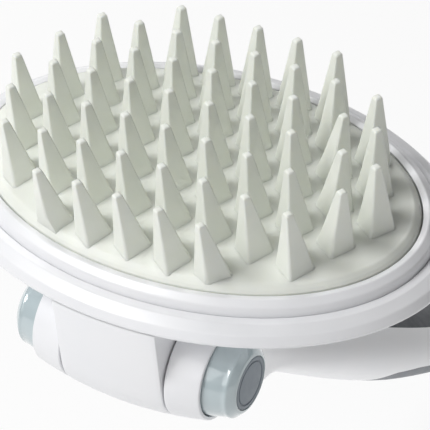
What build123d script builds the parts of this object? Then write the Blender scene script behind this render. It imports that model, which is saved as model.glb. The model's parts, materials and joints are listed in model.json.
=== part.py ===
"""Scalp massager brush: an oval head of soft teeth on a handle, joined by a lockable hinge.

Frame: millimetres, +Z up and out of the teeth, +X along the hinge barrel. The origin lies under
the middle of the brush, level with its lowest point. The handle runs towards +Y and down.
"""
from build123d import *
from math import cos, radians, sin, tan
import os

os.makedirs("parts", exist_ok=True)

# ---------------------------------------------------------------- driving dimensions (mm)
# Where the main pieces stand
HINGE_Y = -72.15  # hinge axis, from the middle of the footprint
HINGE_Z = 140.52  # hinge axis, above the lowest point of the handle
HEAD_FORWARD = 24.0  # head centre, in +Y from the hinge axis
HEAD_HEIGHT = 25.8  # crown of the pad, above the hinge axis
HANDLE_DIP = 42.0  # degrees between the head and the handle

# Head: every oval is the pad's oval, made larger or smaller all round; heights are from the crown
PAD_A = 43.1  # half length of the pad's edge, along X
PAD_B = 27.3  # half width of the pad's edge, along Y
DOME_RISE = 4.0  # crown above the dome's rim
FLANGE = 1.2  # pad's flange and plate, outside the pad's edge
PAD_GAP = 0.25  # shadow gap between the pad and its ring
RIM_A = 7.4  # rim's widest oval, outside the pad's edge along X
RIM_B = 7.9  # the same along Y
RING_TOP = -4.5
PLATE_TOP = -7.4
FLOOR_TOP = -8.9
RIM_BOTTOM = -10.4
BACK_BOTTOM = -12.6
RING_EDGE = 2.9  # retaining ring's outer wall, outside the pad's edge
RING_CREST = 1.2  # retaining ring's highest line, outside the pad's edge
BACK_EDGE = 3.4  # back plate, outside the pad's edge

# Teeth
PITCH = 8.0  # along the head
LINE_SPACING = 7.43  # between lines of teeth, across the head
TEETH_PER_LINE = {-3: 5, -2: 8, -1: 9, 0: 10, 1: 9, 2: 8, 3: 5}
TOOTH_HEIGHT = 13.8
TOOTH_LENGTH = 5.6
TOOTH_WIDTH = 5.1
TOOTH_ROOT = 1.2  # below the domed surface
TOOTH_TURN = 60.5  # degrees from +X to a tooth's longer side
TIP_SIZE = 1.9
TIP_ROUND = 0.7  # height of the rounded tip
TOOTH_LEAN_X = 0.012  # tip further out than the root, as a share of the distance along X
TOOTH_LEAN_Y = 0.12

# Hinge barrel, outwards from the middle plane
BLOCK_HALF = 10.5  # head's knuckle
RING_START = 10.8  # yoke's arms
WEB_END = 12.8
RING_END = 17.3
BARREL_HALF = 23.0
BARREL_RADIUS = 10.75
BARREL_CROWN = 0.0066  # loss of radius per square millimetre from the middle
KNUCKLE_ROOM = 13.2  # radius swept clear between the arms
NECK_BACK = 8.0  # rear face of the neck, behind the hinge axis
KNUCKLE_BORE = 8.0
RUNNING_GAP = 0.06

# Shaft and what rides on it
SHAFT_RADIUS = 2.5
SHAFT_HALF = 15.2
CLIP_START = 13.0
CLIP_THICK = 0.8
CLIP_RADIUS = 4.2
CLIP_GROOVE = 2.1
COLLAR_HALF = 0.8
COLLAR_RADIUS = 5.5

# Cone clutch
SEAT_START = 7.3
SEAT_RADIUS = 7.4  # mouth of the conical seat
SEAT_OUTSIDE = 8.7
SEAT_SLOPE = 0.28  # loss of radius per millimetre outwards
CONE_GAP = 0.2
CONE_START = 5.8
CONE_END = 9.8
LEG_INNER = 4.6
LEG_OUTER = 5.8
LEG_END = 19.4
LEG_HALF_ANGLE = 20.0
SPRING_START = 1.3
SPRING_LENGTH = 3.9
SPRING_PITCH = 1.15
SPRING_RADIUS = 4.2
WIRE_RADIUS = 0.35

# Push buttons
BUTTON_TRAVEL = 2.5
BUTTON_STEP = 0.9  # button below the barrel's crowned surface
BUTTON_BORE = 8.1
BUTTON_HOLLOW = 6.3
BUTTON_ROUND = 0.9
GUIDE_START = WEB_END + BUTTON_TRAVEL + 0.3
DISC_RADIUS = 5.0
DISC_FLOOR = 22.2
DISC_FACE = 22.8
MARK_INNER = 4.0  # fine ring engraved in the disc
MARK_OUTER = 4.3
MARK_DEPTH = 0.2

# Handle: half width and half thickness at distances from the hinge axis
HANDLE_SECTIONS = [
    (30, 13.6, 5.9),
    (45, 12.4, 5.1),
    (67, 12.8, 6.7),
    (91, 13.8, 8.6),
    (116, 14.5, 9.4),
    (149, 13.8, 7.9),
    (180, 12.2, 6.4),
    (198, 9.8, 5.2),
    (206, 6.0, 3.6),
]
# Yoke: half width, half thickness and corner radius at distances from the hinge axis
YOKE_SECTIONS = [
    (2, 17.3, 8.0, 2.0),
    (14, 17.0, 7.5, 3.0),
    (26, 15.4, 6.4, 4.0),
    (40, 12.9, 5.3, 4.6),
    (54, 11.4, 4.4, 4.2),
    (66, 9.8, 3.6, 3.4),
]
WALL = 2.2
POCKETS = [(52, 118), (136, 158), (174, 181)]  # hollow stretches between the screw ribs
GRIP_DEPTH = 1.5
GRIP_START = 94.0
GRIP_END = 182.0
GRIP_CORNER = 15.0
GRIP_EDGE = 5.5
PARTING = [(97, -9.6), (210, 1.4)]  # slanting joint between the body and the under cover
HANG_AT = 192.0
HANG_HOLE = 4.0
HANG_RING = 5.8
HANG_RING_HALF = 5.9

# Screws
SCREW_SHANK = 1.25
SCREW_HEAD = 2.5
SCREW_SLACK = 0.15
HEAD_SCREW_X = 28.0
HEAD_SCREW_Y = 11.0
HEAD_SCREW_SEAT = 1.2  # depth of the recess under each screw head
DRIVE_SLOT = (3.0, 0.7)
DRIVE_DEPTH = 0.6
COVER_SCREWS = [(127, -7.7), (166, -5.8)]  # distance, and height of the seat under the head
COVER_SCREW_LENGTH = 8.0

# ---------------------------------------------------------------- frames and shared shapes
DIP = radians(HANDLE_DIP)
HEAD = Plane(origin=(0, HINGE_Y + HEAD_FORWARD, HINGE_Z + HEAD_HEIGHT))
HINGE_LEVEL = Plane(origin=(0, HINGE_Y, HINGE_Z))
HINGE_SIDE = Plane(origin=(0, HINGE_Y, HINGE_Z), x_dir=(0, 1, 0), z_dir=(1, 0, 0))
HINGE_FRONT = Plane(origin=(0, HINGE_Y, HINGE_Z), x_dir=(1, 0, 0), z_dir=(0, -1, 0))
HINGE_AXIS = Axis((0, HINGE_Y, HINGE_Z), (1, 0, 0))
ALONG = Vector(0, cos(DIP), -sin(DIP))  # down the handle
OUT = Vector(0, sin(DIP), cos(DIP))  # out of the handle's top face
HANDLE_SIDE = Plane(origin=(0, HINGE_Y, HINGE_Z), x_dir=ALONG, z_dir=(1, 0, 0))
SIDES = (("left", -1), ("right", 1))


def handle_plane(distance):
    """Cross-section plane of the handle; its normal runs along the handle."""
    spot = Vector(0, HINGE_Y, HINGE_Z) + ALONG * distance
    return Plane(origin=spot, x_dir=(1, 0, 0), z_dir=ALONG)


def handle_level(distance, rise):
    """Plane square to the handle's thickness; its normal is out of the top face."""
    spot = Vector(0, HINGE_Y, HINGE_Z) + ALONG * distance + OUT * rise
    return Plane(origin=spot, x_dir=(1, 0, 0), z_dir=OUT)


def crown(x):
    """Radius of the barrel's crowned surface at a distance from the middle plane."""
    return BARREL_RADIUS - BARREL_CROWN * x * x


def dome(x, y):
    """Height of the pad's domed surface, from its crown."""
    return -DOME_RISE * ((x / PAD_A) ** 2 + (y / PAD_B) ** 2)


def seat_radius(x):
    """Radius of the clutch's conical seat at a distance from the middle plane."""
    return SEAT_RADIUS - SEAT_SLOPE * (x - SEAT_START)


def oval(height, grow_x=0.0, grow_y=None):
    """Oval face at a height from the pad's crown, grown from the pad's edge all round."""
    with BuildSketch(HEAD.offset(height)) as face:
        Ellipse(PAD_A + grow_x, PAD_B + (grow_x if grow_y is None else grow_y))
    return face.sketch


def dome_oval(share):
    """Level line of the domed face, at a share of the way out to the pad's edge."""
    with BuildSketch(HEAD.offset(-DOME_RISE * share * share)) as face:
        Ellipse(PAD_A * share, PAD_B * share)
    return face.sketch


def turned(points, side=1):
    """Face to turn about the barrel's axis, from corners given as (distance along X, radius)."""
    with BuildSketch(HINGE_FRONT) as face:
        with BuildLine():
            Polyline(*[(side * x, radius) for x, radius in points], close=True)
        make_face()
    return face.sketch


def tube(start, end, inner, outer, side=1):
    """The same, for a plain tube between two distances."""
    return turned([(start, inner), (start, outer), (end, outer), (end, inner)], side)


def crowned(start, end, side, step=0.0):
    """The same, for a solid stretch of the barrel under its crowned surface."""
    middle = (start + end) / 2
    with BuildSketch(HINGE_FRONT) as face:
        with BuildLine():
            top = ThreePointArc(
                (side * start, crown(start) - step),
                (side * middle, crown(middle) - step),
                (side * end, crown(end) - step),
            )
            Polyline(top @ 1, (side * end, 0), (side * start, 0), top @ 0)
        make_face()
    return face.sketch


def finish(part, label):
    """Name a piece and write it."""
    part.label = label
    export_step(part, f"parts/{label}.step")


# ---------------------------------------------------------------- head
def tooth_sections(x, y):
    """Root, shoulder and tip faces of one tooth, which leans a little outwards."""
    root = HEAD.from_local_coords(Vector(x, y, dome(x, y)))
    lean = Vector(TOOTH_LEAN_X * x, TOOTH_LEAN_Y * y, TOOTH_HEIGHT)
    side = Vector(1, 0, 0).rotate(Axis.Z, TOOTH_TURN)
    stand = Plane(origin=root, x_dir=side - lean * (side.dot(lean) / lean.dot(lean)), z_dir=lean)
    faces = []
    for height, length, width, corner in (
        (-TOOTH_ROOT, TOOTH_LENGTH, TOOTH_WIDTH, 0.8),
        (TOOTH_HEIGHT - TIP_ROUND, TIP_SIZE + 0.1, TIP_SIZE, 0.6),
        (TOOTH_HEIGHT, TIP_SIZE / 2 + 0.1, TIP_SIZE / 2, 0.3),
    ):
        with BuildSketch(stand.offset(height)) as face:
            RectangleRounded(length, width, corner)
        faces.append(face.sketch)
    return faces


def tooth_spots():
    """Centres of the teeth, line by line."""
    for line, count in TEETH_PER_LINE.items():
        for index in range(count):
            yield (index - (count - 1) / 2) * PITCH, line * LINE_SPACING


with BuildPart() as teeth:
    add([loft(tooth_sections(x, y), ruled=True, mode=Mode.PRIVATE) for x, y in tooth_spots()])
    # No root reaches past the pad's edge
    loft([oval(PLATE_TOP, -2.0), oval(TOOTH_HEIGHT, 12.0)], ruled=True, mode=Mode.INTERSECT)

with BuildPart() as tooth_pad:
    # Edge flange, held under the retaining ring
    loft([oval(PLATE_TOP, FLANGE), oval(PLATE_TOP + 1.0, FLANGE)], ruled=True)
    loft([oval(PLATE_TOP, -PAD_GAP), oval(-4.9, -PAD_GAP), oval(-4.4, -0.9), oval(-3.8, -2.4)], ruled=True)
    loft([dome_oval(share) for share in (0.93, 0.8, 0.65, 0.5, 0.35, 0.2, 0.08)])
    add(teeth.part)
finish(tooth_pad.part, "tooth_pad")

head_screw_spots = GridLocations(2 * HEAD_SCREW_X, 2 * HEAD_SCREW_Y, 2, 2)

with BuildPart() as pad_plate:
    loft([oval(FLOOR_TOP, FLANGE), oval(PLATE_TOP, FLANGE)], ruled=True)
    with BuildSketch(HEAD.offset(FLOOR_TOP)):
        with head_screw_spots:
            Circle(SCREW_SHANK)
    extrude(amount=PLATE_TOP - FLOOR_TOP - 0.3, mode=Mode.SUBTRACT)
finish(pad_plate.part, "pad_plate")

with BuildPart() as retaining_ring:
    loft(
        [
            oval(FLOOR_TOP, RING_EDGE),
            oval(-7.1, RING_EDGE),
            oval(-5.6, RING_EDGE - 0.3),
            oval(RING_TOP, RING_CREST + 0.1),
        ],
        ruled=True,
    )
    # Seat for the plate and the pad's flange, then the chamfered window
    loft([oval(FLOOR_TOP, FLANGE + 0.15), oval(-6.2, FLANGE + 0.15)], ruled=True, mode=Mode.SUBTRACT)
    loft([oval(-6.25), oval(-4.85), oval(RING_TOP, RING_CREST - 0.1)], ruled=True, mode=Mode.SUBTRACT)
finish(retaining_ring.part, "retaining_ring")

with BuildPart() as groove:
    loft([oval(RIM_BOTTOM, 6.2), oval(-9.2, 5.2)], ruled=True)
    loft([oval(RIM_BOTTOM, 4.5), oval(-9.2, 4.5)], ruled=True, mode=Mode.SUBTRACT)

with BuildPart() as head_shell:
    loft(
        [
            oval(RIM_BOTTOM, RIM_A - 0.3, RIM_B - 0.3),
            oval(RIM_BOTTOM + 0.6, RIM_A, RIM_B),
            oval(-8.5, RIM_A - 1.1, RIM_B - 1.2),
            oval(-7.5, 4.5),
            oval(-7.2, RING_EDGE + 0.15),
        ],
        ruled=True,
    )
    # Seat of the retaining ring, window under the pad plate and groove under the skirt
    loft([oval(FLOOR_TOP, RING_EDGE + 0.05), oval(-7.0, RING_EDGE + 0.05)], ruled=True, mode=Mode.SUBTRACT)
    loft([oval(RIM_BOTTOM, -14.0), oval(FLOOR_TOP, -14.0)], ruled=True, mode=Mode.SUBTRACT)
    add(groove.part, mode=Mode.SUBTRACT)
    with BuildSketch(HEAD.offset(RIM_BOTTOM)):
        with head_screw_spots:
            Circle(SCREW_SHANK + SCREW_SLACK)
    extrude(amount=FLOOR_TOP - RIM_BOTTOM, mode=Mode.SUBTRACT)
finish(head_shell.part, "head_shell")

with BuildPart() as head_back:
    loft(
        [oval(BACK_BOTTOM, BACK_EDGE - 3.0), oval(BACK_BOTTOM + 1.0, BACK_EDGE), oval(RIM_BOTTOM, BACK_EDGE)],
        ruled=True,
    )
    # Neck, whose front face runs down into the crowned knuckle
    with BuildSketch(HINGE_LEVEL):
        with BuildLine():
            front = ThreePointArc(
                (-BLOCK_HALF, -crown(BLOCK_HALF)),
                (0, -BARREL_RADIUS),
                (BLOCK_HALF, -crown(BLOCK_HALF)),
            )
            Polyline(front @ 1, (BLOCK_HALF, NECK_BACK), (-BLOCK_HALF, NECK_BACK), front @ 0)
        make_face()
    extrude(amount=HEAD_HEIGHT + RIM_BOTTOM)
    revolve(crowned(-BLOCK_HALF, BLOCK_HALF, 1), axis=HINGE_AXIS)
    # Bore, with a wider seat at each end
    revolve(tube(-SEAT_START, SEAT_START, 0, KNUCKLE_BORE), axis=HINGE_AXIS, mode=Mode.SUBTRACT)
    for name, side in SIDES:
        seat = tube(SEAT_START, BLOCK_HALF, 0, SEAT_OUTSIDE, side)
        revolve(seat, axis=HINGE_AXIS, mode=Mode.SUBTRACT)
    with BuildSketch(HEAD.offset(BACK_BOTTOM)):
        with head_screw_spots:
            Circle(SCREW_SHANK + SCREW_SLACK)
    extrude(amount=RIM_BOTTOM - BACK_BOTTOM, mode=Mode.SUBTRACT)
    with BuildSketch(HEAD.offset(BACK_BOTTOM)):
        with head_screw_spots:
            Circle(SCREW_HEAD + SCREW_SLACK)
    extrude(amount=HEAD_SCREW_SEAT, mode=Mode.SUBTRACT)
finish(head_back.part, "head_back")

with BuildPart() as head_screws:
    with BuildSketch(HEAD.offset(BACK_BOTTOM)):
        with head_screw_spots:
            Circle(SCREW_HEAD)
    extrude(amount=HEAD_SCREW_SEAT)
    with BuildSketch(HEAD.offset(BACK_BOTTOM + HEAD_SCREW_SEAT)):
        with head_screw_spots:
            Circle(SCREW_SHANK)
    extrude(amount=FLOOR_TOP - BACK_BOTTOM)
    with BuildSketch(HEAD.offset(BACK_BOTTOM)):
        with head_screw_spots:
            Rectangle(*DRIVE_SLOT)
            Rectangle(*reversed(DRIVE_SLOT))
    extrude(amount=DRIVE_DEPTH, mode=Mode.SUBTRACT)
finish(head_screws.part, "head_screws")

# ---------------------------------------------------------------- hinge
with BuildPart() as hinge_shaft:
    revolve(tube(-SHAFT_HALF, SHAFT_HALF, 0, SHAFT_RADIUS), axis=HINGE_AXIS)
    for name, side in SIDES:
        clip_groove = tube(CLIP_START, CLIP_START + CLIP_THICK, CLIP_GROOVE, SHAFT_RADIUS + 1, side)
        revolve(clip_groove, axis=HINGE_AXIS, mode=Mode.SUBTRACT)
finish(hinge_shaft.part, "hinge_shaft")

with BuildPart() as shaft_clips:
    for name, side in SIDES:
        clip = tube(CLIP_START, CLIP_START + CLIP_THICK, CLIP_GROOVE, CLIP_RADIUS, side)
        revolve(clip, axis=HINGE_AXIS)
finish(shaft_clips.part, "shaft_clips")

with BuildPart() as spring_collar:
    revolve(tube(-COLLAR_HALF, COLLAR_HALF, SHAFT_RADIUS, COLLAR_RADIUS), axis=HINGE_AXIS)
finish(spring_collar.part, "spring_collar")


def leg_faces(x, half_angle, slack=0.0):
    """Cross-section of the three clutch legs, or of their slots, at a distance along X."""
    reach = LEG_OUTER + 4
    spread = reach * tan(radians(half_angle))
    with BuildSketch(HINGE_SIDE.offset(x)) as face:
        with PolarLocations(0, 3):
            Polygon((0, 0), (reach, -spread), (reach, spread), align=None)
        Circle(LEG_OUTER + slack, mode=Mode.INTERSECT)
        Circle(LEG_INNER - slack, mode=Mode.SUBTRACT)
    return face.sketch


for name, side in SIDES:
    with BuildPart() as clutch_seat:
        seat = [
            (SEAT_START, SEAT_RADIUS),
            (SEAT_START, SEAT_OUTSIDE),
            (BLOCK_HALF, SEAT_OUTSIDE),
            (BLOCK_HALF, seat_radius(BLOCK_HALF)),
        ]
        revolve(turned(seat, side), axis=HINGE_AXIS)
    finish(clutch_seat.part, f"clutch_seat_{name}")

    with BuildPart() as clutch_cone:
        shoulder = SEAT_START - 0.4
        cone = [
            (CONE_START, SHAFT_RADIUS + RUNNING_GAP),
            (CONE_START, seat_radius(shoulder) - CONE_GAP),
            (shoulder, seat_radius(shoulder) - CONE_GAP),
            (CONE_END, seat_radius(CONE_END) - CONE_GAP),
            (CONE_END, SHAFT_RADIUS + RUNNING_GAP),
        ]
        revolve(turned(cone, side), axis=HINGE_AXIS)
        # Three legs that reach through the yoke's web to the button
        extrude(leg_faces(side * CONE_END, LEG_HALF_ANGLE), amount=side * (LEG_END - CONE_END))
    finish(clutch_cone.part, f"clutch_cone_{name}")

    with BuildPart() as clutch_spring:
        with BuildLine():
            start = (side * SPRING_START, HINGE_Y, HINGE_Z)
            coil = Helix(SPRING_PITCH, SPRING_LENGTH, SPRING_RADIUS, center=start, direction=(side, 0, 0))
        with BuildSketch(Plane(origin=coil @ 0, z_dir=coil % 0)):
            Circle(WIRE_RADIUS)
        sweep(is_frenet=True)
    finish(clutch_spring.part, f"clutch_spring_{name}")

    with BuildPart() as button:
        revolve(crowned(RING_END, BARREL_HALF, side, BUTTON_STEP), axis=HINGE_AXIS)
        guide = tube(GUIDE_START, RING_END, 0, crown(RING_END) - BUTTON_STEP, side)
        revolve(guide, axis=HINGE_AXIS)
        rims = button.edges().filter_by(GeomType.CIRCLE).sort_by(Axis.X)
        fillet(rims[-1] if side > 0 else rims[0], BUTTON_ROUND)
        hollow = tube(GUIDE_START, LEG_END, 0, BUTTON_HOLLOW, side)
        revolve(hollow, axis=HINGE_AXIS, mode=Mode.SUBTRACT)
        recess = tube(DISC_FLOOR, BARREL_HALF + 1, 0, DISC_RADIUS + 0.1, side)
        revolve(recess, axis=HINGE_AXIS, mode=Mode.SUBTRACT)
    finish(button.part, f"button_{name}")

    with BuildPart() as button_disc:
        revolve(tube(DISC_FLOOR, DISC_FACE, 0, DISC_RADIUS, side), axis=HINGE_AXIS)
        mark = tube(DISC_FACE - MARK_DEPTH, DISC_FACE, MARK_INNER, MARK_OUTER, side)
        revolve(mark, axis=HINGE_AXIS, mode=Mode.SUBTRACT)
    finish(button_disc.part, f"button_disc_{name}")


# ---------------------------------------------------------------- handle
def handle_form(shrink, start, end):
    """Handle-shaped solid, smaller all round by an amount, between two distances."""
    faces = []
    for distance, half_width, half_thickness in HANDLE_SECTIONS:
        with BuildSketch(handle_plane(distance)) as face:
            Ellipse(max(half_width - shrink, 1.5), max(half_thickness - shrink, 1.0))
        faces.append(face.sketch)
    with BuildPart() as form:
        loft(faces)
        with BuildSketch(handle_plane(start)):
            Rectangle(60, 60)
        extrude(amount=end - start, mode=Mode.INTERSECT)
    return form.part


def yoke_faces():
    """Cross-sections that narrow from the yoke's arms into the handle's neck."""
    for distance, half_width, half_thickness, corner in YOKE_SECTIONS:
        with BuildSketch(handle_plane(distance)) as face:
            RectangleRounded(2 * half_width, 2 * half_thickness, corner)
        yield face.sketch


HANDLE_START = HANDLE_SECTIONS[0][0]
HANDLE_END = HANDLE_SECTIONS[-1][0]
outer_form = handle_form(0, HANDLE_START, HANDLE_END)
grip_bed = handle_form(GRIP_DEPTH, HANDLE_START, HANDLE_END)

with BuildPart() as under_region:
    with BuildSketch(HANDLE_SIDE):
        with BuildLine():
            Polyline(*PARTING, (PARTING[1][0], -30), (PARTING[0][0], -30), close=True)
        make_face()
    extrude(amount=30, both=True)

with BuildPart() as grip_region:
    with BuildSketch(handle_level((GRIP_START + GRIP_END) / 2, GRIP_EDGE)):
        RectangleRounded(36, GRIP_END - GRIP_START, GRIP_CORNER)
    extrude(amount=20)

with BuildPart() as top_grip:
    add(outer_form)
    add(grip_bed, mode=Mode.SUBTRACT)
    add(grip_region.part, mode=Mode.INTERSECT)
finish(top_grip.part, "top_grip")

with BuildPart() as handle_body:
    add(outer_form)
    loft(list(yoke_faces()))
    for name, side in SIDES:
        revolve(crowned(RING_START, RING_END, side), axis=HINGE_AXIS)
    # Gap for the head's knuckle
    with BuildSketch(HINGE_SIDE):
        Circle(KNUCKLE_ROOM)
    extrude(amount=RING_START, both=True, mode=Mode.SUBTRACT)
    for name, side in SIDES:
        bore = tube(WEB_END, RING_END + 3, 0, BUTTON_BORE, side)
        revolve(bore, axis=HINGE_AXIS, mode=Mode.SUBTRACT)
        # Shaft hole and leg slots through each web
        web = side * (WEB_END - RING_START)
        with BuildSketch(HINGE_SIDE.offset(side * RING_START)):
            Circle(SHAFT_RADIUS)
        extrude(amount=web, mode=Mode.SUBTRACT)
        extrude(leg_faces(side * RING_START, LEG_HALF_ANGLE + 3, 0.2), amount=web, mode=Mode.SUBTRACT)
    add(under_region.part, mode=Mode.SUBTRACT)
    add(top_grip.part, mode=Mode.SUBTRACT)
    for start, end in POCKETS:
        add(handle_form(WALL + GRIP_DEPTH, start, end), mode=Mode.SUBTRACT)
    with BuildSketch(handle_level(HANG_AT, -20)):
        Circle(HANG_RING)
    extrude(amount=40, mode=Mode.SUBTRACT)
    for distance, seat in COVER_SCREWS:
        with BuildSketch(handle_level(distance, seat)):
            Circle(SCREW_SHANK)
        extrude(amount=COVER_SCREW_LENGTH, mode=Mode.SUBTRACT)
finish(handle_body.part, "handle_body")

with BuildPart() as under_cover:
    add(outer_form)
    add(under_region.part, mode=Mode.INTERSECT)
    for start, end in POCKETS:
        add(handle_form(WALL, start, end), mode=Mode.SUBTRACT)
    with BuildSketch(handle_level(HANG_AT, -20)):
        Circle(HANG_RING)
    extrude(amount=40, mode=Mode.SUBTRACT)
    for distance, seat in COVER_SCREWS:
        with BuildSketch(handle_level(distance, seat)):
            Circle(SCREW_SHANK + SCREW_SLACK)
        extrude(amount=COVER_SCREW_LENGTH, mode=Mode.SUBTRACT)
        with BuildSketch(handle_level(distance, seat)):
            Circle(SCREW_HEAD + SCREW_SLACK)
        extrude(amount=-COVER_SCREW_LENGTH, mode=Mode.SUBTRACT)
finish(under_cover.part, "under_cover")

with BuildPart() as cover_screws:
    for distance, seat in COVER_SCREWS:
        with BuildSketch(handle_level(distance, seat)):
            Circle(SCREW_SHANK)
        extrude(amount=COVER_SCREW_LENGTH)
        with BuildSketch(handle_level(distance, seat - 1.0)):
            Circle(SCREW_HEAD)
        extrude(amount=1.0)
        with BuildSketch(handle_level(distance, seat - 1.0)):
            Rectangle(*DRIVE_SLOT)
            Rectangle(*reversed(DRIVE_SLOT))
        extrude(amount=DRIVE_DEPTH, mode=Mode.SUBTRACT)
finish(cover_screws.part, "cover_screws")

with BuildPart() as hang_ring:
    with BuildSketch(handle_level(HANG_AT, -HANG_RING_HALF)):
        Circle(HANG_RING)
        Circle(HANG_HOLE, mode=Mode.SUBTRACT)
    extrude(amount=2 * HANG_RING_HALF)
finish(hang_ring.part, "hang_ring")
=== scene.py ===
"""Looks of the scalp massager brush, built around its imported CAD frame."""
import json
from math import acos, cos, hypot, pi, radians, sin, tan

import bmesh
import bpy
from mathutils import Matrix, Vector

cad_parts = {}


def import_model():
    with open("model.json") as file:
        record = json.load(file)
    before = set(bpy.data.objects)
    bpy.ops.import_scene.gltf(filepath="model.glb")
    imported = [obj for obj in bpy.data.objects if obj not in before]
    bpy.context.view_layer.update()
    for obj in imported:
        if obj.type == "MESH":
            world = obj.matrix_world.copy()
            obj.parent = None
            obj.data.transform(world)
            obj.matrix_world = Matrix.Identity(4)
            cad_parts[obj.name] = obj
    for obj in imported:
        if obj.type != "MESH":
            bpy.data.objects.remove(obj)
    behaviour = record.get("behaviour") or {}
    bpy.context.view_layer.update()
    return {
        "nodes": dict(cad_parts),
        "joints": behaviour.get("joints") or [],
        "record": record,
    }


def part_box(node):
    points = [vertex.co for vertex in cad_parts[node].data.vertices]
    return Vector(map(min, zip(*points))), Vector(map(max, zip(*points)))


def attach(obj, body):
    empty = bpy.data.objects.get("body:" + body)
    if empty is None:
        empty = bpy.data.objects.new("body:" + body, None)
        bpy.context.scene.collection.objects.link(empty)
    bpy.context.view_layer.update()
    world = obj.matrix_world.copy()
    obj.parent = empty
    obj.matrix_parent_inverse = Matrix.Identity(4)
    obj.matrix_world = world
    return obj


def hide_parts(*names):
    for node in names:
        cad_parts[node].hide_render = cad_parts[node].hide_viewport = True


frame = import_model()

# ---------------------------------------------------------------- where things stand
MM = 0.001  # shapes are drawn in mm, and placed in metres
JOINTS = {joint["name"]: joint for joint in frame["joints"]}
HINGE = Vector(JOINTS["head_tilt"]["pos_m"])
FLANGE = 1.2  # pad's flange, outside its edge
PLATE_TOP = -7.4  # underside of the pad, from its crown
PAD_LOW, PAD_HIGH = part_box("tooth_pad")
PAD_A = (PAD_HIGH.x - PAD_LOW.x) / 2 / MM - FLANGE
PAD_B = (PAD_HIGH.y - PAD_LOW.y) / 2 / MM - FLANGE
CROWN = Vector((0, (PAD_LOW.y + PAD_HIGH.y) / 2, PAD_LOW.z - PLATE_TOP * MM))
HANDLE_DIP = radians(42)

HEAD_FRAME = Matrix.Translation(CROWN) @ Matrix.Scale(MM, 4)
HINGE_FRAME = Matrix.Translation(HINGE) @ Matrix.Scale(MM, 4)
DIPPED = Matrix.Rotation(-HANDLE_DIP, 4, "X")
HANDLE_FRAME = Matrix.Translation(HINGE) @ DIPPED @ Matrix.Scale(MM, 4)

DOME_RISE = 4.0  # crown of the pad over its edge
ROUND = 256  # points round an oval
BARREL_ROUND = 128  # points round the barrel
BEYOND = 30.0  # how far a cutting tool reaches, past everything
CENTRE = 0.02  # radius of a turned solid's points beside its axis
WELD = 1e-4  # corners closer than this become one


# ---------------------------------------------------------------- mesh helpers
def solid(verts, faces):
    """Closed mesh object from corners in mm, not yet in place."""
    mesh = bpy.data.meshes.new("solid")
    mesh.from_pydata([tuple(v) for v in verts], [], faces)
    work = bmesh.new()
    work.from_mesh(mesh)
    bmesh.ops.remove_doubles(work, verts=work.verts, dist=WELD)
    bmesh.ops.recalc_face_normals(work, faces=work.faces)
    work.to_mesh(mesh)
    work.free()
    obj = bpy.data.objects.new("solid", mesh)
    bpy.context.scene.collection.objects.link(obj)
    return obj


def combine(obj, tool, how, keep_tool=False):
    """Joins a tool to a solid, or cuts the solid with it: UNION, DIFFERENCE or INTERSECT."""
    modifier = obj.modifiers.new("combine", "BOOLEAN")
    modifier.operation = how
    modifier.solver = "EXACT"
    modifier.object = tool
    seen = obj.evaluated_get(bpy.context.evaluated_depsgraph_get())
    mesh = bpy.data.meshes.new_from_object(seen)
    obj.modifiers.clear()
    obj.data = mesh
    if not keep_tool:
        bpy.data.objects.remove(tool)
    return obj


def soften(obj, width, steps=2, angle=30):
    """Rounds the sharp edges of a solid in mm."""
    modifier = obj.modifiers.new("soften", "BEVEL")
    modifier.width = width
    modifier.segments = steps
    modifier.limit_method = "ANGLE"
    modifier.angle_limit = radians(angle)
    modifier.use_clamp_overlap = True
    seen = obj.evaluated_get(bpy.context.evaluated_depsgraph_get())
    mesh = bpy.data.meshes.new_from_object(seen)
    obj.modifiers.clear()
    obj.data = mesh


def paint(obj, slot):
    """Gives a piece the material of its slot."""
    obj.data.materials.clear()
    obj.data.materials.append(FINISHES[slot])


def keep_flats(obj):
    """Weighted normals, so that flat faces stay flat beside their rounded edges."""
    modifier = obj.modifiers.new("flats", "WEIGHTED_NORMAL")
    modifier.keep_sharp = True
    modifier.weight = 80


def place(obj, name, frame_matrix, body, slot, stands_for):
    """Finishes a solid: real size and place, smooth faces, body, slot and material."""
    obj.name = name
    obj.data.name = name
    obj.data.transform(frame_matrix)
    for polygon in obj.data.polygons:
        polygon.use_smooth = True
    paint(obj, slot)
    keep_flats(obj)
    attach(obj, body)
    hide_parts(*stands_for)
    return obj


def rounded(corners, steps=4, closed=True):
    """Points of an outline, from corners given as (u, v, radius)."""
    points = []
    count = len(corners)
    for i, (u, v, radius) in enumerate(corners):
        here = Vector((u, v))
        if radius <= 0 or (not closed and i in (0, count - 1)):
            points.append((u, v))
            continue
        before = Vector(corners[i - 1][:2]) - here
        after = Vector(corners[(i + 1) % count][:2]) - here
        half = before.angle(after) / 2
        reach = min(radius / tan(half), 0.48 * before.length, 0.48 * after.length)
        bend = reach * tan(half)
        middle = here + (before.normalized() + after.normalized()).normalized() * (bend / sin(half))
        first = here + before.normalized() * reach - middle
        last = here + after.normalized() * reach - middle
        turn = first.angle_signed(last)
        for step in range(steps + 1):
            spoke = first.copy()
            spoke.rotate(Matrix.Rotation(-turn * step / steps, 2))
            points.append(tuple(middle + spoke))
    return points


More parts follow.
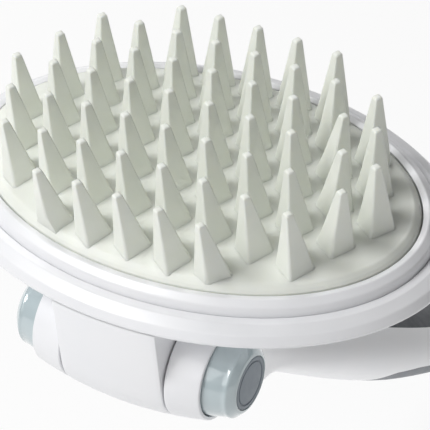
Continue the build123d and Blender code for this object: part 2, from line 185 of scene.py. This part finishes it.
def sweep(rings, close_rows=False, cap=(True, True)):
    """Corners and faces of a skin over rings that all hold the same number of points."""
    count = len(rings[0])
    verts = [point for ring in rings for point in ring]
    faces = []
    rows = len(rings) if close_rows else len(rings) - 1
    for row in range(rows):
        here = row * count
        there = (row + 1) % len(rings) * count
        for i in range(count):
            j = (i + 1) % count
            faces.append((here + i, here + j, there + j, there + i))
    if not close_rows:
        for wanted, ring, start in zip(cap, (rings[0], rings[-1]), (0, (len(rings) - 1) * count)):
            if wanted:
                middle = sum((Vector(p) for p in ring), Vector()) / count
                verts.append(tuple(middle))
                hub = len(verts) - 1
                faces += [(start + i, start + (i + 1) % count, hub) for i in range(count)]
    return verts, faces


def turns(count):
    """Cosines and sines of evenly spaced angles, once round."""
    return [(cos(2 * pi * i / count), sin(2 * pi * i / count)) for i in range(count)]


def oval(a, b, z):
    """Level ring of the head, from its two half widths."""
    return [(a * c, b * s, z) for c, s in turns(ROUND)]


def oval_band(outline):
    """Closed band round the head, from an outline of (distance outside the pad's edge, height)."""
    return solid(*sweep([oval(PAD_A + u, PAD_B + u, z) for u, z in outline], close_rows=True))


def circle(x, radius):
    """Ring round the barrel's axis."""
    return [(x, radius * c, radius * s) for c, s in turns(BARREL_ROUND)]


def dome(x, y):
    """Height of the pad's top under its crown."""
    return -DOME_RISE * ((x / PAD_A) ** 2 + (y / PAD_B) ** 2)


# ---------------------------------------------------------------- materials
def linear(*display):
    """Linear colour from display values between 11 and 255."""
    return tuple(((c / 255 + 0.055) / 1.055) ** 2.4 for c in display)


def finish(
    name, colour, other, patch_mm, roughness, grain_mm, grain_depth, sockets=None, grain="noise"
):
    """Moulded material: two close colours in soft patches, uneven gloss, fine raised grain."""
    material = bpy.data.materials.new(name)
    material.use_nodes = True
    nodes, links = material.node_tree.nodes, material.node_tree.links
    shader = nodes["Principled BSDF"]
    for socket, value in (sockets or {}).items():
        shader.inputs[socket].default_value = value
    place = nodes.new("ShaderNodeTexCoord").outputs["Object"]

    patches = nodes.new("ShaderNodeTexNoise")
    patches.inputs["Scale"].default_value = 1 / (patch_mm * MM)
    patches.inputs["Detail"].default_value = 3
    links.new(place, patches.inputs["Vector"])
    ramp = nodes.new("ShaderNodeValToRGB")
    ramp.color_ramp.interpolation = "EASE"
    ramp.color_ramp.elements[0].position = 0.1
    ramp.color_ramp.elements[0].color = (*linear(*colour), 1)
    ramp.color_ramp.elements[1].position = 0.9
    ramp.color_ramp.elements[1].color = (*linear(*other), 1)
    links.new(patches.outputs["Fac"], ramp.inputs["Fac"])
    links.new(ramp.outputs["Color"], shader.inputs["Base Color"])

    smears = nodes.new("ShaderNodeTexNoise")
    smears.inputs["Scale"].default_value = 3 / (patch_mm * MM)
    smears.inputs["Detail"].default_value = 5
    links.new(place, smears.inputs["Vector"])
    gloss = nodes.new("ShaderNodeMapRange")
    gloss.interpolation_type = "SMOOTHERSTEP"
    gloss.inputs["From Min"].default_value = 0.1
    gloss.inputs["From Max"].default_value = 0.9
    gloss.inputs["To Min"].default_value = roughness[0]
    gloss.inputs["To Max"].default_value = roughness[1]
    links.new(smears.outputs["Fac"], gloss.inputs["Value"])
    links.new(gloss.outputs["Result"], shader.inputs["Roughness"])

    if grain == "noise":
        texture = nodes.new("ShaderNodeTexNoise")
        texture.inputs["Detail"].default_value = 2
        height = texture.outputs["Fac"]
    else:
        texture = nodes.new("ShaderNodeTexVoronoi")
        texture.feature = "SMOOTH_F1"
        height = texture.outputs["Distance"]
    texture.inputs["Scale"].default_value = 1 / (grain_mm * MM)
    links.new(place, texture.inputs["Vector"])
    bump = nodes.new("ShaderNodeBump")
    bump.inputs["Strength"].default_value = 1.0
    bump.inputs["Distance"].default_value = grain_depth * MM
    links.new(height, bump.inputs["Height"])
    links.new(bump.outputs["Normal"], shader.inputs["Normal"])
    return material


# Two colours, size of their patches, range of roughness, size and depth of the grain (mm).
# The white plastic's roughness stays over 0.28: a range from 0.26 left visible islands on it.
FINISHES = {
    "tooth_tpe": finish(
        "tooth_tpe", (236, 238, 231), (231, 234, 226), 6, (0.42, 0.56), 0.22, 0.012,
        {
            "Subsurface Weight": 0.25,
            "Subsurface Radius": (1.0, 0.95, 0.8),
            "Subsurface Scale": 0.0015,
        },
    ),
    "white_plastic": finish(
        "white_plastic", (240, 240, 242), (236, 237, 240), 14, (0.29, 0.37), 0.35, 0.0015,
        {"Coat Weight": 0.15, "Coat Roughness": 0.12},
    ),
    "inner_plastic": finish(
        "inner_plastic", (214, 215, 216), (206, 207, 209), 9, (0.5, 0.6), 0.5, 0.02,
    ),
    "button_plastic": finish(
        "button_plastic", (188, 200, 203), (183, 196, 200), 8, (0.12, 0.18), 0.3, 0.001,
        {"Coat Weight": 1.0, "Coat Roughness": 0.03},
    ),
    "disc_plastic": finish(
        "disc_plastic", (120, 130, 139), (112, 122, 131), 3, (0.34, 0.44), 0.2, 0.008,
    ),
    # Painted shade: the grip's slate is set about as dark as the handle looks in the head's shadow,
    # darker than the grip's own colour under a lamp.
    "grip_tpe": finish(
        "grip_tpe", (70, 75, 82), (64, 69, 76), 8, (0.55, 0.68), 0.45, 0.03, grain="cells",
    ),
    # Painted shade: the cover's grey is set darker than its own colour, to stand in for the shade
    # under the handle that the glowing floor lights up.
    "cover_plastic": finish(
        "cover_plastic", (112, 116, 122), (105, 110, 117), 9, (0.42, 0.52), 0.4, 0.015,
    ),
    "acetal": finish("acetal", (232, 229, 220), (226, 222, 212), 5, (0.35, 0.45), 0.4, 0.008),
    "steel": finish(
        "steel", (196, 197, 200), (182, 183, 187), 2, (0.29, 0.38), 0.15, 0.004, {"Metallic": 1.0},
    ),
}


# ---------------------------------------------------------------- teeth and pad
PITCH = 8.0  # along a line of teeth
LINE_SPACING = 7.43
TEETH_PER_LINE = {-3: 5, -2: 8, -1: 9, 0: 10, 1: 9, 2: 8, 3: 5}
TOOTH_HEIGHT = 13.8
TOOTH_LENGTH = 5.3
TOOTH_WIDTH = 4.8
TOOTH_TURN = radians(60.5)
TOOTH_LEAN = (0.012, 0.12)  # tip further out than the root, as a share of the distance
TIP_SIZE = 1.42
TIP_ROUND = 0.4
TIP_INSET = 0.3
EDGE = 0.26  # radius along a tooth's edges
ROOT_EDGE = 0.4  # what the root adds to that radius
LEAST_HALF = 0.1
ROOT_TOP = 0.5  # the root follows the dome up to here
BENT_TEETH = [(1, 7), (0, 8), (-1, 8)]  # line, and place in the line
BENT_BY = 1.8  # mm at the tip, towards +X
# Height over the pad, and how far the root flares out there
ROOT_LEVELS = [(-1.5, 0.0), (-0.1, 0.12), (0.12, 0.03), (0.35, 0.0)]
# Rings of the dome, as shares of the pad's half widths
DOME_SHARES = (0.04, 0.12, 0.25, 0.4, 0.55, 0.7, 0.8, 0.87, 0.91)
DOME_INSIDE = (2.1, 1.75)  # last rings of the dome, inside the pad's edge
# Outlines of the head's pieces: distance outside the pad's edge, height from its crown, radius
PAD_OUTLINE = [
    (-1.6, -3.66, 0.0), (-1.3, -3.85, 0.4), (-0.75, -4.3, 0.6), (-0.3, -4.8, 0.25),
    (-0.3, -6.3, 0.0), (FLANGE, -6.4, 0.0), (FLANGE, PLATE_TOP, 0.0),
]
RING_OUTLINE = [
    (0.0, -6.2, 0.0), (0.05, -4.85, 0.12), (1.2, -4.5, 0.6), (2.6, -5.5, 0.9), (2.9, -7.1, 0.0),
    (2.9, -8.85, 0.0), (1.4, -8.85, 0.0), (1.35, -6.2, 0.0),
]
RIM_OUTLINE = [
    (2.95, -8.0, 0.0), (3.0, -7.2, 0.15), (4.5, -7.4, 0.9), (6.4, -8.45, 1.2),
    (7.4, -9.85, 0.5), (7.3, -10.4, 0.25), (6.2, -10.4, 0.2), (5.2, -9.2, 0.3),
    (4.5, -9.2, 0.2), (4.4, -10.4, 0.1), (-14.0, -10.4, 0.0), (-14.0, -9.0, 0.0),
    (2.9, -9.0, 0.0),
]


def tooth_rings(x, y, bend):
    """Rings of one tooth, from inside the pad up to its rounded tip."""
    lean_x, lean_y = TOOTH_LEAN[0] * x + bend, TOOTH_LEAN[1] * y
    rings = []
    straight = TOOTH_HEIGHT - TIP_ROUND
    levels = ROOT_LEVELS + [(straight * share, 0.0) for share in (0.25, 0.5, 0.75, 1.0)]
    for bow in (22, 45, 66, 90):
        bend_in = TIP_INSET * (1 - cos(radians(bow)))
        levels.append((straight + TIP_ROUND * sin(radians(bow)), -bend_in))
    for height, flare in levels:
        share = max(0.0, height) / TOOTH_HEIGHT
        half_l = (TOOTH_LENGTH + (TIP_SIZE - TOOTH_LENGTH) * share) / 2 + flare
        half_w = (TOOTH_WIDTH + (TIP_SIZE - TOOTH_WIDTH) * share) / 2 + flare
        half_l, half_w = max(half_l, LEAST_HALF), max(half_w, LEAST_HALF)
        corner = min(EDGE + ROOT_EDGE * (1 - share), 0.75 * min(half_l, half_w))
        outline = rounded([
            (half_l, half_w, corner), (-half_l, half_w, corner),
            (-half_l, -half_w, corner), (half_l, -half_w, corner),
        ])
        ring = []
        for u, v in outline:
            px = x + lean_x * height / TOOTH_HEIGHT + u * cos(TOOTH_TURN) - v * sin(TOOTH_TURN)
            py = y + lean_y * height / TOOTH_HEIGHT + u * sin(TOOTH_TURN) + v * cos(TOOTH_TURN)
            if height < ROOT_TOP:
                # The root stays on the pad and follows its dome
                out = hypot(px / (PAD_A - 1.0), py / (PAD_B - 1.0))
                if out > 1:
                    px, py = px / out, py / out
                base = dome(px, py)
            else:
                base = dome(x, y)
            ring.append((px, py, base + height))
        rings.append(ring)
    return rings


def tooth_pad():
    """Domed pad with its lines of teeth and its edge flange."""
    rings = [
        oval(PAD_A * share, PAD_B * share, -DOME_RISE * share * share) for share in DOME_SHARES
    ]
    for inside in DOME_INSIDE:
        rings.append([(x, y, dome(x, y)) for x, y, _ in oval(PAD_A - inside, PAD_B - inside, 0)])
    rings += [oval(PAD_A + u, PAD_B + u, z) for u, z in rounded(PAD_OUTLINE, closed=False)]
    verts, faces = sweep(rings)
    for line, count in TEETH_PER_LINE.items():
        for index in range(count):
            bend = BENT_BY if (line, index) in BENT_TEETH else 0.0
            along = (index - (count - 1) / 2) * PITCH
            tooth, skin = sweep(tooth_rings(along, line * LINE_SPACING, bend))
            faces += [tuple(len(verts) + i for i in face) for face in skin]
            verts += tooth
    place(solid(verts, faces), "soft_tooth_pad", HEAD_FRAME, "head", "tooth_tpe", ["tooth_pad"])


tooth_pad()


# ---------------------------------------------------------------- ring and rim
def head_rings():
    """Ring round the pad, and the rim with its skirt."""
    ring = oval_band(rounded(RING_OUTLINE))
    place(ring, "ring_round_pad", HEAD_FRAME, "head", "white_plastic", ["retaining_ring"])
    rim = oval_band(rounded(RIM_OUTLINE))
    place(rim, "rim_and_skirt", HEAD_FRAME, "head", "white_plastic", ["head_shell"])


head_rings()


# ---------------------------------------------------------------- neck and back of the head
BLOCK_HALF = 10.5  # half length of the knuckle between the yoke's arms
BARREL_RADIUS = 10.75
BARREL_CROWN = 0.0066  # how fast the barrel gets thinner towards its ends
NECK_BACK = 8.0
NECK_EDGE = 0.35
NECK_STEPS = 72
NECK_SHARES = (-0.9, -0.7, -0.45, -0.2, 0, 0.2, 0.45, 0.7, 0.9)
TOUCH = 0.02  # gap or overlap that keeps two surfaces from sharing a plane
HEAD_HEIGHT = (CROWN.z - HINGE.z) / MM
HEAD_FORWARD = (CROWN.y - HINGE.y) / MM
BACK_TOP = -10.4
BACK_BOTTOM = -12.6
BACK_EDGE = 3.4
BACK_OUTLINE = [
    (-20.0, BACK_BOTTOM, 0), (BACK_EDGE - 3.0, BACK_BOTTOM, 1.2), (BACK_EDGE, -11.6, 0.4),
    (BACK_EDGE, BACK_TOP, 0.2), (-20.0, BACK_TOP, 0),
]
SCREW_X, SCREW_Y, SCREW_RECESS, SCREW_DEPTH = 28.0, 11.0, 2.65, 1.2
SCREW_ROUND = 32


def crown(x):
    """Radius of the barrel's crowned surface at a distance from the middle plane."""
    return BARREL_RADIUS - BARREL_CROWN * x * x


def neck_ring(x, inset):
    """Outline of the neck and its knuckle, square to the barrel, drawn in by an amount."""
    radius = crown(x) - inset
    back = NECK_BACK - inset
    top = HEAD_HEIGHT + BACK_TOP - TOUCH
    ring = [(x, back, top), (x, -radius, top)]
    last = 2 * pi + acos(back / radius)
    for step in range(NECK_STEPS + 1):
        angle = pi + (last - pi) * step / NECK_STEPS
        ring.append((x, radius * cos(angle), radius * sin(angle)))
    return ring


def neck_end(side, turn):
    """Ring in the rounded edge at one end of the knuckle."""
    x = BLOCK_HALF - NECK_EDGE * (1 - cos(radians(turn)))
    return neck_ring(side * x, NECK_EDGE * (1 - sin(radians(turn))))


def ring_points(radius, x=0.0, y=0.0, count=96):
    """Points of a circle in a level plane."""
    return [(x + radius * c, y + radius * s) for c, s in turns(count)]


def prism(outline, low, high):
    """Upright solid between two heights, from an outline of (x, y)."""
    return solid(*sweep([[(x, y, z) for x, y in outline] for z in (low, high)]))


def head_back():
    """Back plate with its screw recesses, neck and knuckle, in one piece."""
    rings = [neck_end(-1, turn) for turn in (0, 30, 60)]
    rings += [neck_ring(BLOCK_HALF * share, 0) for share in NECK_SHARES]
    rings += [neck_end(1, turn) for turn in (60, 30, 0)]
    neck = solid(*sweep(rings))
    outline = rounded(BACK_OUTLINE, closed=False)
    plate = solid(*sweep([oval(PAD_A + u, PAD_B + u, z) for u, z in outline]))
    for x in (-SCREW_X, SCREW_X):
        for y in (-SCREW_Y, SCREW_Y):
            recess = ring_points(SCREW_RECESS, x, y, SCREW_ROUND)
            drill = prism(recess, BACK_BOTTOM - 1, BACK_BOTTOM + SCREW_DEPTH)
            combine(plate, drill, "DIFFERENCE")
    plate.data.transform(Matrix.Translation((0, HEAD_FORWARD, HEAD_HEIGHT)))
    combine(plate, neck, "UNION")
    place(plate, "neck_and_back", HINGE_FRAME, "head", "white_plastic", ["head_back"])


head_back()


# ---------------------------------------------------------------- buttons
RING_START = 10.8  # the yoke's arms, along the barrel
RING_END = 17.3
WEB_END = 12.8
BUTTON_BORE = 8.1
BARREL_HALF = 23.0
BUTTON_STEP = 0.9  # button below the barrel's surface
BUTTON_ROUND = 1.8  # about the length of its rounded end
GUIDE_START = 15.6
HOLLOW_END, BUTTON_HOLLOW = 19.4, 6.3
DISC_FLOOR = 22.2
DISC_FACE = 22.8
DISC_RADIUS = 4.98
# Rounded end of a button: distance along the barrel, radius from its axis, radius of the corner
BUTTON_END = [
    (BARREL_HALF - 1.5, 7.05, 1.2), (BARREL_HALF - 0.35, 5.75, 0.6),
    (BARREL_HALF - 0.1, 5.12, 0.12), (DISC_FLOOR, 5.08, 0.0), (DISC_FLOOR, CENTRE, 0.0),
]
# The disc has a fine ring engraved near its edge
DISC_OUTLINE = [
    (DISC_FLOOR, CENTRE, 0.0), (DISC_FLOOR, DISC_RADIUS, 0.0), (DISC_FACE, DISC_RADIUS, 0.18),
    (DISC_FACE, 4.3, 0.05), (DISC_FACE - 0.2, 4.2, 0.05), (DISC_FACE - 0.2, 4.05, 0.05),
    (DISC_FACE, 3.95, 0.05), (DISC_FACE - 0.08, CENTRE, 0.0),
]


def barrel_arc(start, end, step, count=10):
    """Points along the crowned surface, below it by a step."""
    stops = [start + (end - start) * i / count for i in range(count + 1)]
    return [(x, crown(x) - step, 0.0) for x in stops]


def lathe(outline, side):
    """Solid turned about the barrel, from an outline of (distance along X, radius)."""
    rings = [circle(side * x, radius) for x, radius in outline]
    return solid(*sweep(rings))


def buttons():
    """Hollow push button and its end disc, at each end of the barrel."""
    for name, side in (("left", -1), ("right", 1)):
        node, disc_node = f"button_{name}", f"button_disc_{name}"
        guide = crown(RING_END) - BUTTON_STEP
        outline = [
            (HOLLOW_END, CENTRE, 0.0), (HOLLOW_END, BUTTON_HOLLOW, 0.0),
            (GUIDE_START, BUTTON_HOLLOW, 0.0), (GUIDE_START, guide, 0.2),
        ]
        outline += barrel_arc(RING_END, BARREL_HALF - BUTTON_ROUND, BUTTON_STEP)[:-1] + BUTTON_END
        button = lathe(rounded(outline, closed=False), side)
        place(button, f"push_button_{name}", HINGE_FRAME, node, "button_plastic", [node])
        disc = lathe(rounded(DISC_OUTLINE, closed=False), side)
        place(disc, f"end_disc_{name}", HINGE_FRAME, node, "disc_plastic", [disc_node])


buttons()


# ---------------------------------------------------------------- handle
# Half width, half thickness and squareness of the handle at distances from the hinge axis
STATIONS = [
    (5, 17.2, 8.3, 5.0),
    (14, 17.0, 7.5, 4.5),
    (26, 14.9, 6.0, 3.6),
    (38, 12.5, 4.6, 3.0),
    (48, 12.0, 4.9, 2.5),
    (67, 12.8, 6.7, 2.1),
    (91, 13.8, 8.6, 2.0),
    (116, 14.5, 9.4, 2.0),
    (149, 13.8, 7.9, 2.0),
    (180, 12.2, 6.4, 2.0),
    (196, 10.2, 5.3, 2.0),
]
SKIN_ROWS = 90
SKIN_ROUND = 96
LEAST_HALF_WIDTH, LEAST_HALF_THICKNESS = 0.4, 0.2
TIP_END = 206.0
TIP_ANGLES = (15, 30, 45, 58, 69, 78, 85)  # rings round the handle's end
TIP_KEEPS = 0.35  # share of its thickness that the handle keeps until close to its end
TIP_BLUNT = 3  # how late it loses that share
KNUCKLE_ROOM = 13.2
GRIP_START, GRIP_END, GRIP_HALF, GRIP_CORNER = 94.0, 182.0, 18.0, 15.0
GRIP_EDGE, GRIP_DEPTH = 5.5, 1.5
GRIP_SOFT, COVER_SOFT, BODY_SOFT = 0.25, 0.2, 0.3  # rounding of their edges
# Line between body and cover, seen from the side, as (along, out, radius)
PARTING = [(101.0, -10.6, 0), (105.4, -4.7, 6), (118.0, -3.2, 30), (210.0, 1.4, 0)]
HANG_AT, HANG_RING, HANG_HOLE, HANG_RING_HALF = 192.0, 5.8, 4.0, 5.9
EYELET_OUTLINE = [
    (HANG_HOLE, -HANG_RING_HALF, 0.5), (HANG_HOLE, HANG_RING_HALF, 0.5),
    (HANG_RING, HANG_RING_HALF, 0.4), (HANG_RING, -HANG_RING_HALF, 0.4),
]
COVER_SCREWS = [(127, -7.7), (166, -5.8)]  # along the handle, and the height of the seat


def between(stations, distance):
    """Smooth values between the stations, by a Catmull-Rom curve."""
    last = len(stations) - 1
    i = max(k for k in range(last) if stations[k][0] <= distance or k == 0)
    before, a, b, after = (stations[min(max(i + k, 0), last)] for k in (-1, 0, 1, 2))
    span = b[0] - a[0]
    t = (distance - a[0]) / span
    values = []
    for k in range(1, len(a)):
        slope_a = (b[k] - before[k]) / max(b[0] - before[0], 1e-6) * span
        slope_b = (after[k] - a[k]) / max(after[0] - a[0], 1e-6) * span
        values.append(
            a[k] * (2 * t**3 - 3 * t**2 + 1) + slope_a * (t**3 - 2 * t**2 + t)
            + b[k] * (3 * t**2 - 2 * t**3) + slope_b * (t**3 - t**2)
        )
    return values


def handle_skin(shrink=0.0):
    """Solid of the whole handle, drawn in by an amount. Y runs along it, Z out of its top."""
    rings = []
    start, tip = STATIONS[0][0], STATIONS[-1][0]
    spans = [(start + (tip - start) * row / SKIN_ROWS, 1.0) for row in range(SKIN_ROWS + 1)]
    for angle in TIP_ANGLES:
        spans.append((tip + (TIP_END - tip) * sin(radians(angle)), cos(radians(angle))))
    for distance, share in spans:
        half_width, half_thickness, power = between(STATIONS, min(distance, tip))
        half_width = max(half_width * share - shrink, LEAST_HALF_WIDTH)
        thinner = (TIP_KEEPS + (1 - TIP_KEEPS) * share) * min(1, share * TIP_BLUNT)
        half_thickness = max(half_thickness * thinner - shrink, LEAST_HALF_THICKNESS)
        ring = []
        for c, s in turns(SKIN_ROUND):
            scale = (abs(c) ** power + abs(s) ** power) ** (-1 / power)
            ring.append((half_width * c * scale, distance, half_thickness * s * scale))
        rings.append(ring)
    return solid(*sweep(rings))


def slab(outline, half):
    """Solid across the handle, from an outline of (along, out)."""
    return solid(*sweep([[(x, y, z) for y, z in outline] for x in (-half, half)]))


def hang_bore():
    """Tool for the hole that holds the eyelet."""
    return prism(ring_points(HANG_RING, y=HANG_AT), -BEYOND, BEYOND)


def yoke_arm(side):
    """Ring of the yoke round a button, turned to lie along the barrel."""
    outline = [(WEB_END, CENTRE, 0.0), (WEB_END, BUTTON_BORE, 0.0), (RING_END, BUTTON_BORE, 0.15)]
    arc = barrel_arc(RING_END, RING_START, 0.0)
    arc[0] = (arc[0][0], arc[0][1], 0.25)
    arc[-1] = (arc[-1][0], arc[-1][1], 0.3)
    outline += arc + [(RING_START, CENTRE, 0.0)]
    ring = lathe(rounded(outline, closed=False), side)
    ring.data.transform(Matrix.Rotation(HANDLE_DIP, 4, "X"))
    return ring


def handle():
    """Body with its yoke, grip on top, cover underneath, and eyelet."""
    below = [(PARTING[-1][0], -BEYOND, 0), (PARTING[0][0], -BEYOND, 0)]
    under = slab(rounded(PARTING + below, steps=8), BEYOND)
    grip_outline = rounded([
        (GRIP_HALF, GRIP_START, GRIP_CORNER), (GRIP_HALF, GRIP_END, GRIP_CORNER),
        (-GRIP_HALF, GRIP_END, GRIP_CORNER), (-GRIP_HALF, GRIP_START, GRIP_CORNER),
    ], steps=12)
    grip_space = prism(grip_outline, GRIP_EDGE, BEYOND)

    grip = handle_skin()
    combine(grip, grip_space, "INTERSECT", keep_tool=True)
    combine(grip, handle_skin(GRIP_DEPTH), "DIFFERENCE")
    soften(grip, GRIP_SOFT)

    cover = handle_skin()
    combine(cover, under, "INTERSECT", keep_tool=True)
    combine(cover, hang_bore(), "DIFFERENCE")
    for distance, seat in COVER_SCREWS:
        recess = ring_points(SCREW_RECESS, y=distance, count=SCREW_ROUND)
        combine(cover, prism(recess, -BEYOND, seat), "DIFFERENCE")
    soften(cover, COVER_SOFT)

    body = handle_skin()
    combine(grip_space, handle_skin(GRIP_DEPTH - TOUCH), "DIFFERENCE")
    combine(body, grip_space, "DIFFERENCE")
    combine(body, under, "DIFFERENCE")
    combine(body, hang_bore(), "DIFFERENCE")
    combine(body, slab(ring_points(KNUCKLE_ROOM), RING_START), "DIFFERENCE")
    soften(body, BODY_SOFT)
    for side in (-1, 1):
        bore = lathe([
            (WEB_END, CENTRE), (WEB_END, BUTTON_BORE),
            (RING_END + 2, BUTTON_BORE), (RING_END + 2, CENTRE),
        ], side)
        combine(body, bore, "DIFFERENCE")
        combine(body, yoke_arm(side), "UNION")
    place(body, "handle_and_yoke", HANDLE_FRAME, "handle", "white_plastic", ["handle_body"])
    # The grip's and the cover's colours are darkened as painted shade.
    place(grip, "grip_on_top", HANDLE_FRAME, "handle", "grip_tpe", ["top_grip"])
    place(cover, "cover_underneath", HANDLE_FRAME, "handle", "cover_plastic", ["under_cover"])
    rings = [
        [(x, y, z) for x, y in ring_points(radius, y=HANG_AT)]
        for radius, z in rounded(EYELET_OUTLINE)
    ]
    eyelet = solid(*sweep(rings, close_rows=True))
    place(eyelet, "eyelet", HANDLE_FRAME, "handle", "button_plastic", ["hang_ring"])


handle()


# ---------------------------------------------------------------- carried-over CAD nodes
SLOTS = {entry["node"]: entry["material_slot"] for entry in frame["record"]["subparts"]}
for node, obj in frame["nodes"].items():
    paint(obj, SLOTS[node])


# ---------------------------------------------------------------- stage, light and camera
FLOOR_HALF = 6.0  # metres
FLOOR_DROP = 0.002
FLOOR_GREY = 0.2
FLOOR_GLOW = 0.8
WORLD_LIGHT = 0.03
LIGHT_DISTANCE = 1.2  # metres
# Name, direction from the pad's crown, size in metres, watts
LIGHTS = [
    ("key", (-0.45, -0.45, 0.8), 0.5, 9),
    ("front", (-0.2, -0.8, 0.6), 0.8, 4),
    ("back", (-0.5, 0.5, 0.7), 0.8, 5.5),
    ("right", (0.6, -0.4, 0.6), 0.8, 1),
]
CAMERA_TURN = radians(33.01)  # from straight in front, towards +X
CAMERA_RISE = radians(42.54)
CAMERA_ROLL = radians(-5.39)
CAMERA_AIM = (11.0, -12.2, 0.0)  # mm, from the pad's crown
CAMERA_DISTANCE = 412.4  # mm
CAMERA_LENS = 198.84
CAMERA_SENSOR = 36


def stage():
    """Plain pale floor that glows a little, so that it stays close to white."""
    mesh = bpy.data.meshes.new("floor")
    corners = [(x * FLOOR_HALF, y * FLOOR_HALF, 0) for x, y in ((-1, -1), (1, -1), (1, 1), (-1, 1))]
    mesh.from_pydata(corners, [], [(0, 1, 2, 3)])
    floor = bpy.data.objects.new("floor", mesh)
    floor.location.z = -FLOOR_DROP
    bpy.context.scene.collection.objects.link(floor)
    material = bpy.data.materials.new("floor")
    material.use_nodes = True
    shader = material.node_tree.nodes["Principled BSDF"]
    shader.inputs["Base Color"].default_value = (FLOOR_GREY, FLOOR_GREY, FLOOR_GREY, 1)
    shader.inputs["Roughness"].default_value = 0.9
    shader.inputs["Specular IOR Level"].default_value = 0.0
    shader.inputs["Emission Color"].default_value = (1, 1, 1, 1)
    shader.inputs["Emission Strength"].default_value = FLOOR_GLOW
    mesh.materials.append(material)


def light(name, direction, size, watts):
    """Square soft light that looks at the pad's crown from a direction."""
    lamp = bpy.data.lights.new(name, "AREA")
    lamp.shape = "SQUARE"
    lamp.size = size
    lamp.energy = watts
    obj = bpy.data.objects.new(name, lamp)
    toward = Vector(direction).normalized()
    turn = toward.to_track_quat("Z", "Y").to_matrix().to_4x4()
    obj.matrix_world = Matrix.Translation(CROWN + toward * LIGHT_DISTANCE) @ turn
    bpy.context.scene.collection.objects.link(obj)


def world(strength):
    """Even faint light from everywhere."""
    scene = bpy.context.scene
    scene.world = bpy.data.worlds.new("studio")
    scene.world.use_nodes = True
    background = scene.world.node_tree.nodes["Background"]
    background.inputs["Color"].default_value = (1, 1, 1, 1)
    background.inputs["Strength"].default_value = strength
    scene.view_settings.view_transform = "Standard"


def camera():
    """Camera at the photo's angle."""
    lens = bpy.data.cameras.new("camera")
    lens.lens = CAMERA_LENS
    lens.sensor_width = CAMERA_SENSOR
    obj = bpy.data.objects.new("camera", lens)
    level = cos(CAMERA_RISE)
    back = Vector((sin(CAMERA_TURN) * level, -cos(CAMERA_TURN) * level, sin(CAMERA_RISE)))
    right = Vector((cos(CAMERA_TURN), sin(CAMERA_TURN), 0))
    right.rotate(Matrix.Rotation(CAMERA_ROLL, 3, back))
    up = back.cross(right)
    at = CROWN + (Vector(CAMERA_AIM) + back * CAMERA_DISTANCE) * MM
    turn = Matrix((right, up, back)).transposed().to_4x4()
    obj.matrix_world = Matrix.Translation(at) @ turn
    bpy.context.scene.collection.objects.link(obj)
    bpy.context.scene.camera = obj


stage()
world(WORLD_LIGHT)
for name, direction, size, watts in LIGHTS:
    light(name, direction, size, watts)
camera()
